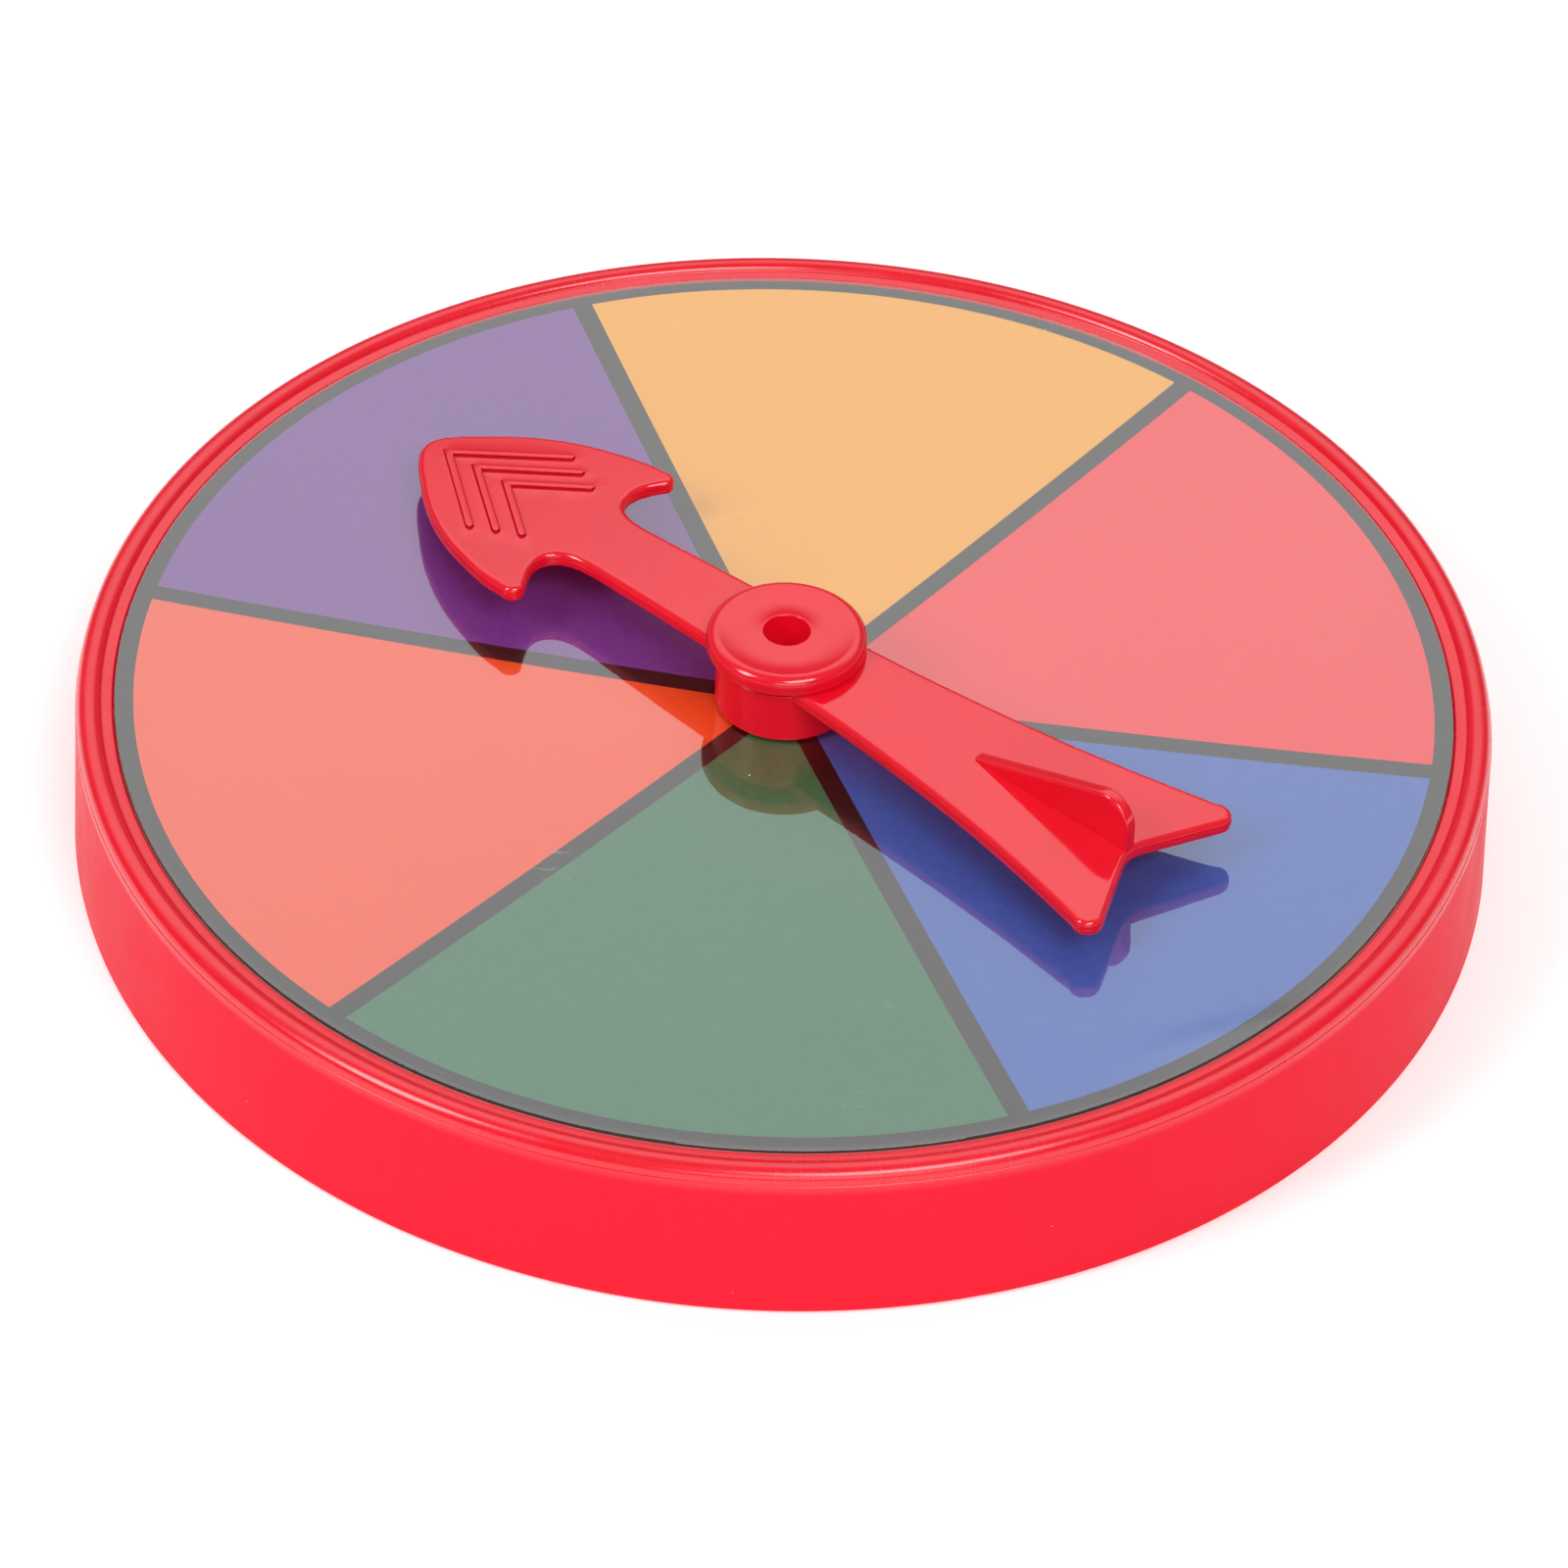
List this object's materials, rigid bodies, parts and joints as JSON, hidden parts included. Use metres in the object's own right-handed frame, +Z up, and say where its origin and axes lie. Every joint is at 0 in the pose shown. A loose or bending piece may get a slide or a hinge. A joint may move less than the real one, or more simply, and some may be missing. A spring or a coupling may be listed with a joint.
{
  "type": "game spinner",
  "caption": "Round board-game spinner: a moulded tray with a dished printed sector disc under a clear film, and an arrow pointer with a tail fin that turns freely on a central snap pin.",
  "frame": {"origin": "middle of the foot ring that the tray stands on, on the pointer's turning axis", "axes": "+Z up along the pivot axis; +X to the right and +Y away from the viewer in the front view; the pointer rests at 140.1 degrees counter-clockwise from +X"},
  "size_m": [0.102, 0.102, 0.0188],
  "materials": {
    "tray_plastic": "moulded red plastic, satin with fine flow and scuff marks",
    "printed_card": "offset printed card, six colour sectors with dark dividers and border ring",
    "clear_film": "clear glossy plastic film",
    "pointer_plastic": "moulded red plastic, glossy",
    "pin_plastic": "moulded red plastic, glossy"
  },
  "bodies": {
    "base": {"base_tray": "tray_plastic", "sector_card": "printed_card", "clear_film": "clear_film", "pivot_pin": "pin_plastic"},
    "pointer": {"pointer": "pointer_plastic"}
  },
  "joints": [
    {"name": "pointer_spin", "type": "hinge", "parent": "base", "child": "pointer", "pos_m": [0, 0, 0.014], "axis": [0, 0, 1], "continuous": true}
  ]
}
